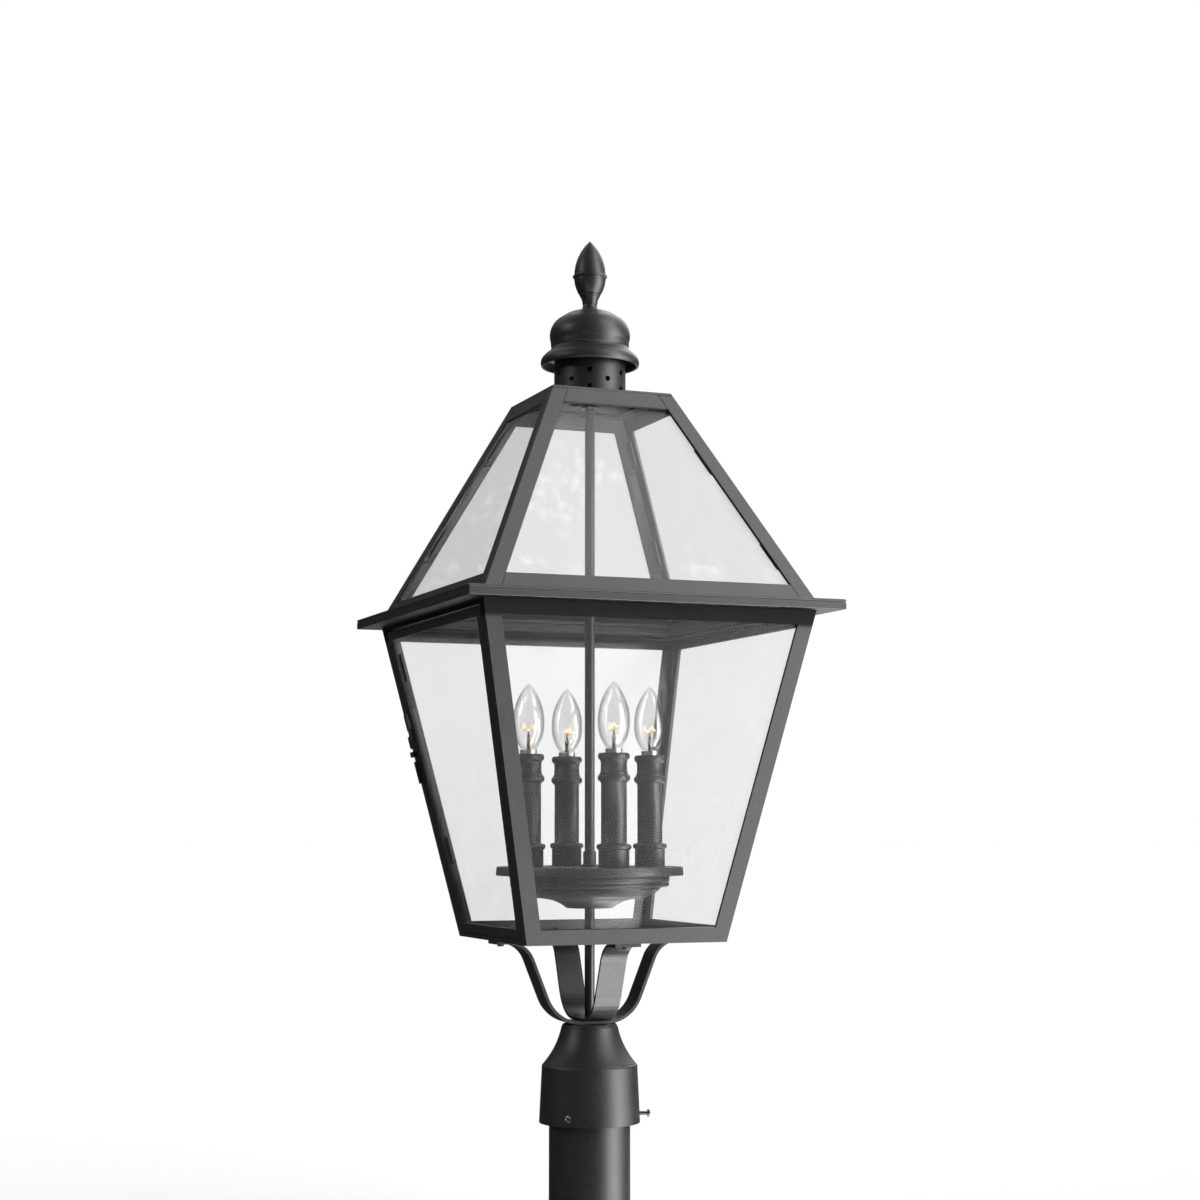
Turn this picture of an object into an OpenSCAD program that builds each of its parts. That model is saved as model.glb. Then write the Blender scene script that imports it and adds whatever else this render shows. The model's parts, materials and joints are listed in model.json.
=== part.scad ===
// Four-light post-top lantern on the top of its post.
// Frame: origin at the centre of the post's lower end, +Z up, glazed faces along X and Y.
// The wide front face looks along -Y and the door is the -X face.

/* [Post and fitter] */
// Outside diameter of the post
post_d = 76.2; // [60:0.1:102]
// Wall of the post
post_wall = 3.2; // [2:0.1:6]
// Length of post that shows below the fitter
post_exposed = 110; // [60:1:200]
// Depth of the post inside the fitter
post_inset = 48; // [40:1:60]
// Radial gap between post and fitter
post_fit = 0.3; // [0.1:0.1:1]
// Height of the fitter
fitter_h = 91; // [80:1:130]
// Wall of the fitter at its lower rim
fitter_wall = 9; // [7:0.5:14]
// Height of the fitter's straight skirt
skirt_h = 54; // [50:1:66]
// Diameter of the fitter's top
fitter_top_d = 52; // [46:1:70]
// Height of the set screws above the fitter's rim
screw_h = 7.5; // [6:0.5:20]
// Diameter of the two socket set screws
set_screw_d = 6.4; // [4:0.1:8]
// Shank diameter of the long retaining screw
long_screw_d = 3.8; // [3:0.1:5]
// How far the long screw stands out of the fitter
long_screw_out = 9.8; // [6:0.2:16]

/* [Straps and stem] */
// Width of the two carrying straps
strap_w = 25.4; // [18:0.2:32]
// Thickness of the straps
strap_t = 3; // [2:0.5:5]
// Height from the fitter's top to the body
strap_rise = 78.6; // [65:0.2:110]
// Bend radius beside the fitter
strap_bend_low = 36; // [20:1:40]
// Bend radius beside the body
strap_bend_high = 26; // [12:1:30]
// Angle of the straight part of a strap
strap_angle = 68; // [60:1:70]
// Outside diameter of the hollow stem
stem_d = 9.5; // [8:0.1:13]
// Wall of the stem
stem_wall = 1.6; // [1:0.1:2.5]
// Gap between the stem and each hole it passes
stem_fit = 0.25; // [0.1:0.05:0.5]

/* [Body] */
// Width across the bottom of the body
body_bottom_w = 195.2; // [160:1:240]
// Width across the top of the body
body_top_w = 322.2; // [260:1:380]
// Height of the body from its bottom to the eave
body_h = 303.1; // [240:1:380]
// Width of the stile flanges on the fixed faces
stile_w = 15; // [12:0.5:20]
// Width of the stile flanges on the door face
door_side_w = 13; // [10:0.5:18]
// Thickness of the angle iron
iron_t = 3; // [2:0.5:4]
// Slanted height of the bottom rails
bottom_rail_h = 13.9; // [11:0.1:20]
// Slanted height of the top rails
top_rail_h = 13.5; // [11:0.1:20]
// Width of the level flange on each rail
ledge_w = 15; // [13:0.5:20]
// Thickness of the panes
glass_t = 2.5; // [2:0.1:4]
// Gap between a pane and what it rests on
glass_fit = 0.2; // [0.1:0.05:0.5]

/* [Door] */
// Thickness of the door frame
door_t = 4.6; // [4:0.1:6]
// Width of the door's stiles
door_stile_w = 9.6; // [8:0.1:14]
// Height of the door's rails
door_rail_h = 8.6; // [7.5:0.1:14]
// Height of the sill and header bars around the door
sill_h = 4; // [3.5:0.1:8]
// Gap beside and under the door
door_gap = 1.2; // [1:0.1:2]
// Extra gap over the door, where its corner rises as it opens
door_rise_gap = 0.4; // [0.2:0.1:1]
// Distance of the hinge line from the door's edge
hinge_inset = 3.3; // [3:0.1:4]
// Diameter of the hinge pins
pin_d = 2.4; // [1.6:0.1:2.6]
// Radial running clearance of the hinge pins
pin_fit = 0.05; // [0.02:0.01:0.1]
// Height of the latch eye above the bottom of the body
latch_h = 184; // [80:1:220]
// Travel of the latch bolt
bolt_travel = 9; // [6:0.5:10]

/* [Eave and roof] */
// Width across the eave
eave_w = 362.8; // [340:1:440]
// Height of the eave's fascia
eave_h = 9.4; // [7:0.2:16]
// Sheet thickness of the eave
sheet_t = 2.5; // [1.5:0.5:4]
// Width across the foot of the roof
roof_bottom_w = 322; // [280:1:330]
// Width across the top of the roof
roof_top_w = 122.6; // [100:1:160]
// Height of the roof
roof_h = 202.1; // [160:1:260]
// Width of the roof's hip flanges and rails
roof_iron_w = 16; // [12:0.5:22]

/* [Vent and finial] */
// Outside diameter of the vent collar
collar_d = 69.4; // [60:0.2:76]
// Wall of the vent collar
collar_wall = 2; // [1.5:0.1:3]
// Height of the vent collar, hidden part included
collar_h = 48.3; // [44:0.1:60]
// Diameter of the vent holes
vent_hole_d = 5.2; // [3:0.1:7]
// Columns of vent holes
vent_columns = 12; // [8:2:14]
// Diameter of the cap's flange
cap_d = 96.2; // [92:0.2:120]
// Diameter of the dome
dome_d = 77; // [72:0.5:84]
// Height of the dome above the cap's ceiling
dome_h = 40.3; // [34:0.1:50]
// Height of the finial
finial_h = 69.9; // [60:0.1:90]
// Largest diameter of the finial's body
finial_d = 31.8; // [26:0.1:40]

/* [Light cluster] */
// Height of the cluster plate's top above the bottom of the body
plate_h = 67.8; // [60:0.1:100]
// Diameter of the cluster plate
plate_d = 178; // [168:1:190]
// Height of the cluster plate's rim
plate_rim_h = 8.1; // [6:0.1:12]
// Diameter of the step under the plate
step_d = 151; // [146:1:160]
// Height of the step below the plate's rim
step_h = 10.6; // [8:0.1:14]
// Diameter of the bowl's top
bowl_d = 134; // [120:1:140]
// Height of the bowl
bowl_h = 20; // [16:0.5:30]
// Distance of the candles from the stem
candle_ring_r = 62; // [48:0.5:66]
// Diameter of a candle sleeve
candle_d = 24; // [22:0.2:30]
// Height of a candle sleeve
candle_h = 106; // [80:1:130]
// Outside diameter of a bulb socket
socket_d = 16; // [15:0.2:18]
// Diameter of a bulb's screw base
base_d = 11.9; // [10:0.1:13]
// Largest diameter of a bulb
bulb_d = 30; // [24:0.5:36]
// Height of a bulb above its socket
bulb_h = 62.6; // [50:0.2:80]

/* [Hidden] */
$fn = 64;

// Colours
black_iron = [0.16, 0.16, 0.17];
black_cast = [0.2, 0.2, 0.21];
pane_tint = [0.85, 0.92, 0.95, 0.35];
steel = [0.55, 0.55, 0.57];
brass = [0.78, 0.62, 0.3];
wire_white = [0.9, 0.9, 0.86];

// Sides, counted anticlockwise from the front
FRONT = 0;
RIGHT = 1;
BACK = 2;
LEFT = 3;

// Small clearances and overlaps shared by many pieces
touch = 0.1;
overlap = 1;
// Half the open seam between two mitred bars
seam = 0.1;
// Long enough to trim a slanted piece at a level plane
spare = 12;

// Post and fitter
post_r = post_d / 2;
rim_z = post_exposed;
fitter_r = post_r + post_fit + fitter_wall;
shoulder_r = fitter_r - 2.4;
fitter_top_z = rim_z + fitter_h;
fitter_top_wall = 9;
fitter_socket_r = post_r + post_fit;
fitter_post_seat = 5;
fitter_hollow_r = 28;
fitter_hollow_top_r = 18;
set_screw_r = set_screw_d / 2;
long_screw_r = long_screw_d / 2;
long_head_r = long_screw_r + 1.6;
long_head_h = 2.6;
screw_fit = 0.05;
// Directions of the three screws, 120 degrees apart
front_screw_angle = -136.7;
right_screw_angle = front_screw_angle + 120;
rear_screw_angle = front_screw_angle + 240;

// Stem
stem_r = stem_d / 2;
stem_hole_r = stem_r + stem_fit;
stem_thread_out = 4;
stem_in_finial = 26;
nut_r = stem_r + 4.4;
nut_h = 6;
nut_gap = 0.05;

// Body
body_z = fitter_top_z + strap_rise;
body_top_z = body_z + body_h;
body_r0 = body_bottom_w / 2;
body_r1 = body_top_w / 2;
body_tilt = atan((body_r1 - body_r0) / body_h);
body_len = body_h / cos(body_tilt);
// Lean of a stile within the plane of its face
stile_lean = atan(sin(body_tilt));
ledge_t = iron_t;
pane_edge_gap = iron_t + glass_t + 2;
clip_l = 27;
clip_w = 9;
clip_t = 1;

// Strap fasteners
strap_hole_at = body_r0 - 8.7;
strap_screw_r = 1.9;
strap_screw_fit = 0.1;
strap_head_r = 3;
strap_head_h = 2.2;
strap_nut_r = 3.3;
strap_nut_h = 3;

// Door
door_front_t = door_t / 2;
door_back_w = 6.4;
door_back_rail_h = 5.4;
door_top_gap = door_gap + door_rise_gap;
door_z0 = sill_h + door_gap;
door_z1 = body_len - sill_h - door_top_gap;
pin_r = pin_d / 2;
pin_in_door = 6;
pin_in_bar = 3;

// Latch, measured from the door's edge and from the top of its eye
bar_w = 3;
bar_t = 1.4;
bar_x = 2.4;
bar_out = 2.7;
bolt_fit = 0.2;
tip_r = 1.1;
eye_x = -door_gap - 4;
eye_r = 2.7;
eye_h = 5;
guide_z = 20.5;
guide_h = 16;
guide_wall = 1.4;
bolt_top_z = guide_z + guide_h + 8;
arm_z = 12;
arm_h = 3.4;
leaf_t = 0.8;
rivet_r = 1.3;
rivet_h = 0.6;
bolt_y = -bar_out - bar_t / 2;

// Eave and roof
eave_r = eave_w / 2;
eave_inner_r = body_r1 - ledge_w;
roof_z = body_top_z + eave_h;
roof_r0 = roof_bottom_w / 2;
roof_r1 = roof_top_w / 2;
roof_tilt = atan((roof_r0 - roof_r1) / roof_h);
roof_len = roof_h / cos(roof_tilt);
roof_top_z = roof_z + roof_h;
plate_t = 2.5;
collar_z = roof_top_z + plate_t;
collar_r = collar_d / 2;
cap_ceiling_z = collar_z + collar_h;
dome_top_z = cap_ceiling_z + dome_h;
finial_sink = 0.6;
dome_r = dome_d / 2;
cap_r = cap_d / 2;
cap_wall = 3;
cap_ledge = 3.4;
vent_hole_r = vent_hole_d / 2;
vent_row_step = 8.15;
vent_mid_h = 15.6;
finial_r = finial_d / 2;

// Light cluster
plate_z = body_z + plate_h;
plate_rim_z = plate_z - plate_rim_h;
plate_r = plate_d / 2;
step_r = step_d / 2;
step_z = plate_rim_z - step_h;
bowl_r = bowl_d / 2;
bowl_z = step_z - bowl_h;
bowl_foot_r = 22;
spun_t = 2.5;
candle_r = candle_d / 2;
socket_r = socket_d / 2;
socket_out = 4;
socket_l = 46;
socket_top_z = plate_z + candle_h + socket_out;
base_r = base_d / 2;
base_l = 20;
base_fit = 0.3;
nipple_r = 5;
nipple_bore_r = 3;
wire_r = 1.1;
wire_end_at = 26;
wire_h = 1.5;
glass_wall = 0.8;
bulb_r = bulb_d / 2;

// Points of an arc from p to q whose middle stands "bulge" to the left of the chord
function arc(p, q, bulge, n = 8) =
    let (chord = norm(q - p),
         along = (q - p) / chord,
         left = [-along[1], along[0]],
         r = (chord * chord / 4 + bulge * bulge) / (2 * abs(bulge)),
         centre = (p + q) / 2 + left * (bulge - sign(bulge) * r),
         a0 = atan2(p[1] - centre[1], p[0] - centre[0]),
         a1 = atan2(q[1] - centre[1], q[0] - centre[0]),
         sweep = (a1 - a0 + 540) % 360 - 180)
    [for (i = [0:n]) centre + r * [cos(a0 + sweep * i / n), sin(a0 + sweep * i / n)]];

// Half width of a body face, and of a roof face, at height z up its slope
function body_half(z) = body_r0 + z * sin(body_tilt);
function roof_half(z) = roof_r0 - z * sin(roof_tilt);
function door_edge(z) = body_half(z) - door_side_w - door_gap;

// Face frames: x across the face, y inwards from its outer plane, z up its slope
module on_body(side) {
    rotate([0, 0, 90 * side])
        translate([0, -body_r0, body_z])
            rotate([body_tilt, 0, 0])
                children();
}

module on_roof(side) {
    rotate([0, 0, 90 * side])
        translate([0, -roof_r0, roof_z])
            rotate([-roof_tilt, 0, 0])
                children();
}

// A flat piece in a face frame, from its (x, z) outline
module face_piece(outline, depth, thick) {
    translate([0, depth + thick, 0])
        rotate([90, 0, 0])
            linear_extrude(thick)
                polygon(outline);
}

// Keeps what lies between two level planes
module between(low, high) {
    intersection() {
        children();
        translate([-eave_w, -eave_w, low])
            cube([2 * eave_w, 2 * eave_w, high - low]);
    }
}

module tube(outer_r, inner_r, z, h) {
    translate([0, 0, z])
        difference() {
            cylinder(r = outer_r, h = h);
            translate([0, 0, -overlap])
                cylinder(r = inner_r, h = h + 2 * overlap);
        }
}

// Hexagon nut around the stem
module stem_nut(z) {
    translate([0, 0, z])
        difference() {
            cylinder(r = nut_r, h = nut_h, $fn = 6);
            translate([0, 0, -overlap])
                cylinder(r = stem_r + nut_gap, h = nut_h + 2 * overlap);
        }
}

// ---- Post, fitter and screws ----

module post_top() {
    color(black_cast)
        tube(post_r, post_r - post_wall, 0, post_exposed + post_inset);
}

module screw_hole(angle, r) {
    rotate([0, 0, angle])
        translate([post_r - overlap, 0, rim_z + screw_h])
            rotate([0, 90, 0])
                cylinder(r = r, h = fitter_wall + 2 * overlap + post_fit);
}

module fitter() {
    outline = concat(
        [[fitter_socket_r, 0], [fitter_r, 0]],
        arc([shoulder_r, skirt_h - 3], [shoulder_r - 1.6, skirt_h], -0.6, 4),
        arc([shoulder_r - 2, skirt_h + 0.8], [fitter_top_d / 2 + 0.6, fitter_h - 3], 2.3, 14),
        arc([fitter_top_d / 2 - 0.4, fitter_h - 1.2], [fitter_top_d / 2 - 2, fitter_h], -0.4, 3),
        [[stem_hole_r, fitter_h],
         [stem_hole_r, fitter_h - fitter_top_wall],
         [fitter_hollow_top_r, fitter_h - fitter_top_wall],
         [fitter_hollow_r, post_inset + fitter_post_seat],
         [fitter_hollow_r, post_inset + touch],
         [fitter_socket_r, post_inset + touch]]);
    color(black_cast)
        difference() {
            translate([0, 0, rim_z])
                rotate_extrude()
                    polygon(outline);
            screw_hole(front_screw_angle, set_screw_r + screw_fit);
            screw_hole(rear_screw_angle, set_screw_r + screw_fit);
            screw_hole(right_screw_angle, long_screw_r + screw_fit);
        }
}

module set_screw(angle) {
    tip = post_r + screw_fit;
    length = fitter_r - 0.4 - tip;
    color(steel)
        rotate([0, 0, angle])
            translate([tip, 0, rim_z + screw_h])
                rotate([0, 90, 0])
                    difference() {
                        cylinder(r = set_screw_r, h = length);
                        translate([0, 0, length / 2])
                            cylinder(r = set_screw_r / 2, h = length, $fn = 6);
                    }
}

module set_screw_front() {
    set_screw(front_screw_angle);
}

module set_screw_rear() {
    set_screw(rear_screw_angle);
}

module retaining_screw() {
    tip = post_r + screw_fit;
    head_at = fitter_r + long_screw_out - long_head_h - tip;
    slot_w = 1;
    color(steel)
        rotate([0, 0, right_screw_angle])
            translate([tip, 0, rim_z + screw_h])
                rotate([0, 90, 0])
                    difference() {
                        union() {
                            cylinder(r = long_screw_r, h = head_at + overlap);
                            translate([0, 0, head_at])
                                cylinder(r = long_head_r, h = long_head_h);
                        }
                        translate([-long_head_r - overlap, -slot_w / 2, head_at + long_head_h - slot_w])
                            cube([2 * (long_head_r + overlap), slot_w, slot_w + overlap]);
                    }
}

// ---- Straps and stem ----

// Centre line of half a strap: level, bend up, straight, bend back, level
function strap_line(lift) =
    let (rise = strap_rise - strap_t - lift,
         bends = (strap_bend_low + strap_bend_high) * (1 - cos(strap_angle)),
         straight = (rise - bends) / sin(strap_angle),
         run = (strap_bend_low + strap_bend_high) * sin(strap_angle) + straight * cos(strap_angle),
         end_x = body_r0 - 0.8,
         low_x = strap_w / 2 + 0.4,
         z0 = lift + strap_t / 2,
         high_x = low_x + run,
         high_z = z0 + rise)
    concat(
        [[0, z0, 0]],
        [for (i = [0:10])
            let (a = strap_angle * i / 10)
            [low_x + strap_bend_low * sin(a), z0 + strap_bend_low * (1 - cos(a)), a]],
        [for (i = [0:10])
            let (a = strap_angle * (1 - i / 10))
            [high_x - strap_bend_high * sin(a), high_z - strap_bend_high * (1 - cos(a)), a]],
        [[end_x, high_z, 0]]);

module strap(lift) {
    line = strap_line(lift);
    half = strap_t / 2;
    lower = [for (p = line) [p[0] + half * sin(p[2]), p[1] - half * cos(p[2])]];
    upper = [for (i = [len(line) - 1:-1:0])
        [line[i][0] - half * sin(line[i][2]), line[i][1] + half * cos(line[i][2])]];
    color(black_iron)
        difference() {
            for (turn = [0, 180])
                rotate([0, 0, turn])
                    translate([0, strap_w / 2, fitter_top_z])
                        rotate([90, 0, 0])
                            linear_extrude(strap_w)
                                polygon(concat(lower, upper));
            translate([0, 0, fitter_top_z - overlap])
                cylinder(r = stem_hole_r, h = 2 * strap_t + 2 * overlap);
            for (turn = [0, 180])
                rotate([0, 0, turn])
                    translate([strap_hole_at, 0, body_z - strap_t - overlap])
                        cylinder(r = strap_screw_r + strap_screw_fit, h = strap_t + 2 * overlap);
        }
}

module strap_x() {
    strap(0);
}

module strap_y() {
    rotate([0, 0, 90])
        strap(strap_t);
}

// Screw and nut that clamp each strap end to a rail
module strap_fasteners() {
    color(black_iron)
        for (turn = [0:90:270])
            rotate([0, 0, turn])
                translate([strap_hole_at, 0, body_z]) {
                    translate([0, 0, -strap_t - strap_head_h])
                        cylinder(r = strap_head_r, h = strap_head_h);
                    translate([0, 0, -strap_t - touch])
                        cylinder(r = strap_screw_r, h = strap_t + ledge_t + strap_nut_h + 1);
                    translate([0, 0, ledge_t])
                        cylinder(r = strap_nut_r, h = strap_nut_h, $fn = 6);
                }
}

module stem_rod() {
    low = fitter_top_z - fitter_top_wall - nut_h - stem_thread_out;
    color(black_iron)
        tube(stem_r, stem_r - stem_wall, low, dome_top_z + stem_in_finial - low);
}

// Nuts under the fitter's top, inside the bowl and under the roof plate
module stem_nuts() {
    color(steel) {
        stem_nut(fitter_top_z - fitter_top_wall - nut_h);
        stem_nut(bowl_z + spun_t);
        stem_nut(roof_top_z - nut_h);
    }
}

module rod_coupling() {
    coupling_r = stem_r + 1.45;
    flange_r = stem_r + 4.25;
    coupling_h = 14.7;
    color(black_cast)
        translate([0, 0, plate_z])
            rotate_extrude()
                polygon([[stem_r + nut_gap, 0], [flange_r, 0], [flange_r, 1.6],
                         [coupling_r + 0.4, 2.4], [coupling_r, 3.4],
                         [coupling_r, coupling_h - 0.8], [coupling_r - 0.6, coupling_h],
                         [stem_r + nut_gap, coupling_h]]);
}

// ---- Body frame ----

module flange(z0, z1, w, t) {
    face_piece([[body_half(z0) - w, z0], [body_half(z0), z0],
                [body_half(z1), z1], [body_half(z1) - w, z1]], 0, t);
}

// Corner angle between a face and the next one round
module corner_stiles() {
    color(black_iron)
        for (side = [FRONT, RIGHT, BACK, LEFT])
            between(body_z, body_top_z) {
                on_body(side)
                    flange(-spare, body_len + spare, side == LEFT ? door_side_w : stile_w, iron_t);
                on_body(side + 1)
                    mirror([1, 0, 0])
                        flange(-spare, body_len + spare,
                               side + 1 == LEFT ? door_side_w : stile_w, iron_t);
            }
}

// Slanted web of a rail between its two stiles
module rail_web(z0, z1, w, t) {
    face_piece([[-(body_half(z0) - w), z0], [body_half(z0) - w, z0],
                [body_half(z1) - w, z1], [-(body_half(z1) - w), z1]], 0, t);
}

// Level flange of a rail, mitred at its ends, running out into its own web
module rail_ledge(side, z, outer_r, web_r, web_half) {
    inner_r = outer_r - ledge_w + iron_t;
    rotate([0, 0, 90 * side])
        translate([0, 0, z])
            linear_extrude(ledge_t)
                polygon([[seam - outer_r, -outer_r], [-web_half, -outer_r], [-web_half, -web_r],
                         [web_half, -web_r], [web_half, -outer_r], [outer_r - seam, -outer_r],
                         [inner_r - seam, -inner_r], [seam - inner_r, -inner_r]]);
}

module bottom_rail(side, web_h, web_t, w) {
    outer_r = body_r0 - max(web_t, iron_t) / cos(body_tilt) - touch;
    difference() {
        union() {
            between(body_z, body_top_z)
                on_body(side)
                    rail_web(-spare, web_h, w, web_t);
            rail_ledge(side, body_z, outer_r, body_r0 - overlap, body_r0 - w - overlap);
        }
        rotate([0, 0, 90 * side])
            translate([0, -strap_hole_at, body_z - overlap])
                cylinder(r = strap_screw_r + strap_screw_fit, h = ledge_t + 2 * overlap);
    }
}

module top_rail(side, web_h, web_t, w) {
    level_r = body_r1 - ledge_t * tan(body_tilt);
    outer_r = level_r - max(web_t, iron_t) / cos(body_tilt) - touch;
    between(body_z, body_top_z)
        on_body(side)
            rail_web(body_len - web_h, body_len + spare, w, web_t);
    rail_ledge(side, body_top_z - ledge_t, outer_r, level_r - overlap, level_r - w - overlap);
}

module bottom_rails() {
    color(black_iron)
        for (side = [FRONT, RIGHT, BACK])
            bottom_rail(side, bottom_rail_h, iron_t, stile_w);
}

module top_rails() {
    color(black_iron)
        for (side = [FRONT, RIGHT, BACK])
            top_rail(side, top_rail_h, iron_t, stile_w);
}

// Bore for a hinge pin, or the pin itself, about the hinge line
module on_hinge(z) {
    on_body(LEFT)
        translate([door_edge(z) - hinge_inset, door_t / 2, z])
            rotate([0, stile_lean, 0])
                children();
}

module hinge_bores(r) {
    on_hinge(door_z0 - door_gap - pin_in_bar)
        cylinder(r = r, h = pin_in_bar + door_gap + pin_in_door);
    on_hinge(door_z1 - pin_in_door)
        cylinder(r = r, h = pin_in_bar + door_top_gap + pin_in_door);
}

// Sill and header that the door closes between
module door_surround() {
    color(black_iron)
        difference() {
            union() {
                bottom_rail(LEFT, sill_h, door_t, door_side_w);
                top_rail(LEFT, sill_h, door_t, door_side_w);
            }
            hinge_bores(pin_r + pin_fit);
        }
}

// ---- Panes and clips ----

module body_pane(side) {
    low = (ledge_t + glass_fit - iron_t * sin(body_tilt)) / cos(body_tilt);
    high = (body_h - ledge_t - glass_fit - (iron_t + glass_t) * sin(body_tilt)) / cos(body_tilt);
    edge_low = body_half(low) - pane_edge_gap;
    edge_high = body_half(high) - pane_edge_gap;
    color(pane_tint)
        on_body(side)
            face_piece([[-edge_low, low], [edge_low, low], [edge_high, high], [-edge_high, high]],
                       iron_t + touch, glass_t);
}

module glass_front() {
    body_pane(FRONT);
}

module glass_right() {
    body_pane(RIGHT);
}

module glass_back() {
    body_pane(BACK);
}

// Spring clip from the neighbouring flange over the edge of a pane
module clip(z, depth, edge, slope) {
    face_piece([[edge - clip_w, z], [edge, z],
                [edge + clip_l * slope, z + clip_l], [edge - clip_w + clip_l * slope, z + clip_l]],
               depth, clip_t);
}

// The clips of one face sit lower than its neighbour's, so that they pass in the corner
module body_glass_clips() {
    depth = iron_t + glass_t + 2 * touch;
    lows = [0.14, 0.73];
    stagger = 1.4 * clip_l;
    slope = sin(body_tilt);
    color(black_iron)
        for (side = [FRONT, RIGHT, BACK])
            on_body(side)
                for (share = lows)
                    for (hand = [0, 1])
                        mirror([hand, 0, 0]) {
                            z = share * body_len + (side == RIGHT ? stagger : 0);
                            clip(z, depth, body_half(z) - iron_t - 3 * touch, slope);
                        }
}

// ---- Eave ----

// Mitred bar of the eave between two levels
module eave_bar(side, inner_r, outer_r, z, h) {
    rotate([0, 0, 90 * side])
        translate([0, 0, z])
            linear_extrude(h)
                polygon([[seam - outer_r, -outer_r], [outer_r - seam, -outer_r],
                         [inner_r - seam, -inner_r], [seam - inner_r, -inner_r]]);
}

module eave_frame() {
    color(black_iron)
        for (side = [FRONT, RIGHT, BACK, LEFT])
            union() {
                eave_bar(side, eave_inner_r, eave_r, body_top_z, sheet_t);
                eave_bar(side, eave_r - sheet_t, eave_r, body_top_z, eave_h - sheet_t);
            }
}

module eave_cover() {
    color(black_iron)
        for (side = [FRONT, RIGHT, BACK, LEFT])
            union() {
                eave_bar(side, eave_inner_r, eave_r, roof_z - sheet_t, sheet_t);
                eave_bar(side, eave_inner_r, eave_inner_r + sheet_t,
                         body_top_z + sheet_t, eave_h - 2 * sheet_t + touch);
            }
}

// ---- Roof ----

module hip_flange() {
    z0 = -spare;
    z1 = roof_len + spare;
    face_piece([[roof_half(z0) - roof_iron_w, z0], [roof_half(z0), z0],
                [roof_half(z1), z1], [roof_half(z1) - roof_iron_w, z1]], 0, iron_t);
}

module roof_hips() {
    color(black_iron)
        for (side = [FRONT, RIGHT, BACK, LEFT])
            between(roof_z, roof_top_z) {
                on_roof(side)
                    hip_flange();
                on_roof(side + 1)
                    mirror([1, 0, 0])
                        hip_flange();
            }
}

module roof_web(side, z0, z1) {
    low = roof_half(z0) - roof_iron_w;
    high = roof_half(z1) - roof_iron_w;
    between(roof_z, roof_top_z)
        on_roof(side)
            face_piece([[-low, z0], [low, z0], [high, z1], [-high, z1]], 0, iron_t);
}

module roof_base_rails() {
    level_r = roof_r0 - ledge_t * tan(roof_tilt);
    outer_r = level_r - iron_t / cos(roof_tilt) - touch;
    color(black_iron)
        for (side = [FRONT, RIGHT, BACK, LEFT])
            union() {
                roof_web(side, -spare, roof_iron_w);
                rail_ledge(side, roof_z, outer_r, level_r - overlap,
                           level_r - roof_iron_w - overlap);
            }
}

module roof_top_rails() {
    outer_r = roof_r1 - iron_t / cos(roof_tilt) - touch;
    color(black_iron)
        for (side = [FRONT, RIGHT, BACK, LEFT])
            union() {
                roof_web(side, roof_len - roof_iron_w, roof_len + spare);
                rail_ledge(side, roof_top_z - ledge_t, outer_r, roof_r1 - overlap,
                           roof_r1 - roof_iron_w - overlap);
            }
}

module roof_pane(side) {
    inner = iron_t + touch + glass_t;
    low = (ledge_t + glass_fit + inner * sin(roof_tilt)) / cos(roof_tilt);
    high = (roof_h - ledge_t - glass_fit + iron_t * sin(roof_tilt)) / cos(roof_tilt);
    edge_low = roof_half(low) - pane_edge_gap - 1;
    edge_high = roof_half(high) - pane_edge_gap - 1;
    color(pane_tint)
        on_roof(side)
            face_piece([[-edge_low, low], [edge_low, low], [edge_high, high], [-edge_high, high]],
                       iron_t + touch, glass_t);
}

module roof_glass_front() {
    roof_pane(FRONT);
}

module roof_glass_right() {
    roof_pane(RIGHT);
}

module roof_glass_back() {
    roof_pane(BACK);
}

module roof_glass_left() {
    roof_pane(LEFT);
}

module roof_glass_clips() {
    depth = iron_t + glass_t + 2 * touch;
    lows = [0.16, 0.62];
    stagger = 1.3 * clip_l;
    slope = -sin(roof_tilt);
    color(black_iron)
        for (side = [FRONT, RIGHT, BACK, LEFT])
            on_roof(side)
                for (share = lows)
                    for (hand = [0, 1])
                        mirror([hand, 0, 0]) {
                            z = share * roof_len + (side % 2 == 1 ? stagger : 0);
                            clip(z, depth, roof_half(z) - iron_t - 1.6, slope);
                        }
}

// ---- Vent, cap and finial ----

// Plate over the top rails, its edges trimmed to the slope of the roof
module roof_plate() {
    draught_holes = 6;
    draught_r = 6;
    draught_ring_r = 19;
    color(black_iron)
        difference() {
            translate([-roof_r1, -roof_r1, roof_top_z])
                cube([roof_top_w, roof_top_w, plate_t]);
            for (side = [FRONT, RIGHT, BACK, LEFT])
                on_roof(side)
                    translate([-roof_top_w, -spare, roof_len - spare])
                        cube([2 * roof_top_w, spare, 2 * spare]);
            translate([0, 0, roof_top_z - overlap])
                cylinder(r = stem_hole_r, h = plate_t + 2 * overlap);
            for (i = [0:draught_holes - 1])
                rotate([0, 0, i * 360 / draught_holes])
                    translate([draught_ring_r, 0, roof_top_z - overlap])
                        cylinder(r = draught_r, h = plate_t + 2 * overlap, $fn = 32);
        }
}

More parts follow.
